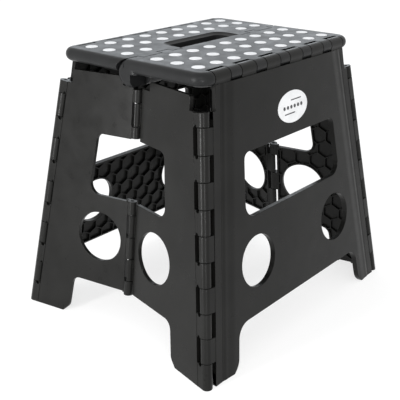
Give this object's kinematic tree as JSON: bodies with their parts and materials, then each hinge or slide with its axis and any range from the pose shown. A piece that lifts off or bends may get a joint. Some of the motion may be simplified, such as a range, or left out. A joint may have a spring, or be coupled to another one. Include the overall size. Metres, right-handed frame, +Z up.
{
  "type": "folding step stool",
  "caption": "Folding plastic step stool with a two-part seat, hand slot, raised grip dots, and hinged leg and end panels that fold flat.",
  "frame": {"origin": "on the floor, at the centre of the stool's footprint", "axes": "+X along the stool's length, to the right seen from the front; +Y to the rear; +Z up"},
  "size_m": [0.4412, 0.367, 0.39],
  "materials": {
    "panel_plastic": "satin moulded, fine grain",
    "seat_plastic": "satin moulded, fine grain",
    "grip_rubber": "soft matte",
    "rod_steel": "drawn wire",
    "label_film": "smooth film"
  },
  "bodies": {
    "leg_front": {"leg_panel_front": "panel_plastic", "label": "label_film", "corner_rod_left_front": "rod_steel", "corner_rod_right_front": "rod_steel", "leg_rod_front": "rod_steel"},
    "leg_rear": {"leg_panel_rear": "panel_plastic", "corner_rod_left_rear": "rod_steel", "corner_rod_right_rear": "rod_steel", "leg_rod_rear": "rod_steel"},
    "seat_half_front": {"seat_front": "seat_plastic", "grip_dots_front": "grip_rubber"},
    "seat_half_rear": {"seat_rear": "seat_plastic", "grip_dots_rear": "grip_rubber", "seat_rod_left": "rod_steel", "seat_rod_right": "rod_steel"},
    "end_half_left_front": {"end_panel_left_front": "panel_plastic"},
    "end_half_left_rear": {"end_panel_left_rear": "panel_plastic", "fold_rod_left_lower": "rod_steel", "fold_rod_left_upper": "rod_steel"},
    "end_half_right_front": {"end_panel_right_front": "panel_plastic", "fold_rod_right_lower": "rod_steel", "fold_rod_right_upper": "rod_steel"},
    "end_half_right_rear": {"end_panel_right_rear": "panel_plastic"}
  },
  "joints": [
    {"name": "front_leg_hinge", "type": "hinge", "parent": "leg_front", "child": "seat_half_front", "pos_m": [0, -0.11959, 0.3805], "axis": [1, 0, 0], "range_deg": [0, 81.9]},
    {"name": "seat_fold", "type": "hinge", "parent": "seat_half_front", "child": "seat_half_rear", "pos_m": [0, 0, 0.371], "axis": [-1, 0, 0], "range_deg": [0, 180]},
    {"name": "rear_leg_hinge", "type": "hinge", "parent": "seat_half_rear", "child": "leg_rear", "pos_m": [0, 0.11959, 0.3805], "axis": [1, 0, 0], "range_deg": [0, 81.9]},
    {"name": "corner_left_front", "type": "hinge", "parent": "leg_front", "child": "end_half_left_front", "pos_m": [-0.213, -0.174, 0], "axis": [-0.1402, -0.1402, -0.9802], "range_deg": [0, 79.5]},
    {"name": "corner_right_front", "type": "hinge", "parent": "leg_front", "child": "end_half_right_front", "pos_m": [0.213, -0.174, 0], "axis": [-0.1402, 0.1402, 0.9802], "range_deg": [0, 79.5]},
    {"name": "corner_left_rear", "type": "hinge", "parent": "leg_rear", "child": "end_half_left_rear", "pos_m": [-0.213, 0.174, 0], "axis": [0.1402, -0.1402, 0.9802], "range_deg": [0, 79.5]},
    {"name": "corner_right_rear", "type": "hinge", "parent": "leg_rear", "child": "end_half_right_rear", "pos_m": [0.213, 0.174, 0], "axis": [0.1402, 0.1402, -0.9802], "range_deg": [0, 79.5]}
  ],
  "couplings": [
    {"joint": "front_leg_hinge", "follows": "seat_fold", "ratio": 0.455},
    {"joint": "rear_leg_hinge", "follows": "seat_fold", "ratio": 0.455},
    {"joint": "corner_left_front", "follows": "seat_fold", "ratio": 0.44167},
    {"joint": "corner_right_front", "follows": "seat_fold", "ratio": 0.44167},
    {"joint": "corner_left_rear", "follows": "seat_fold", "ratio": 0.44167},
    {"joint": "corner_right_rear", "follows": "seat_fold", "ratio": 0.44167}
  ]
}
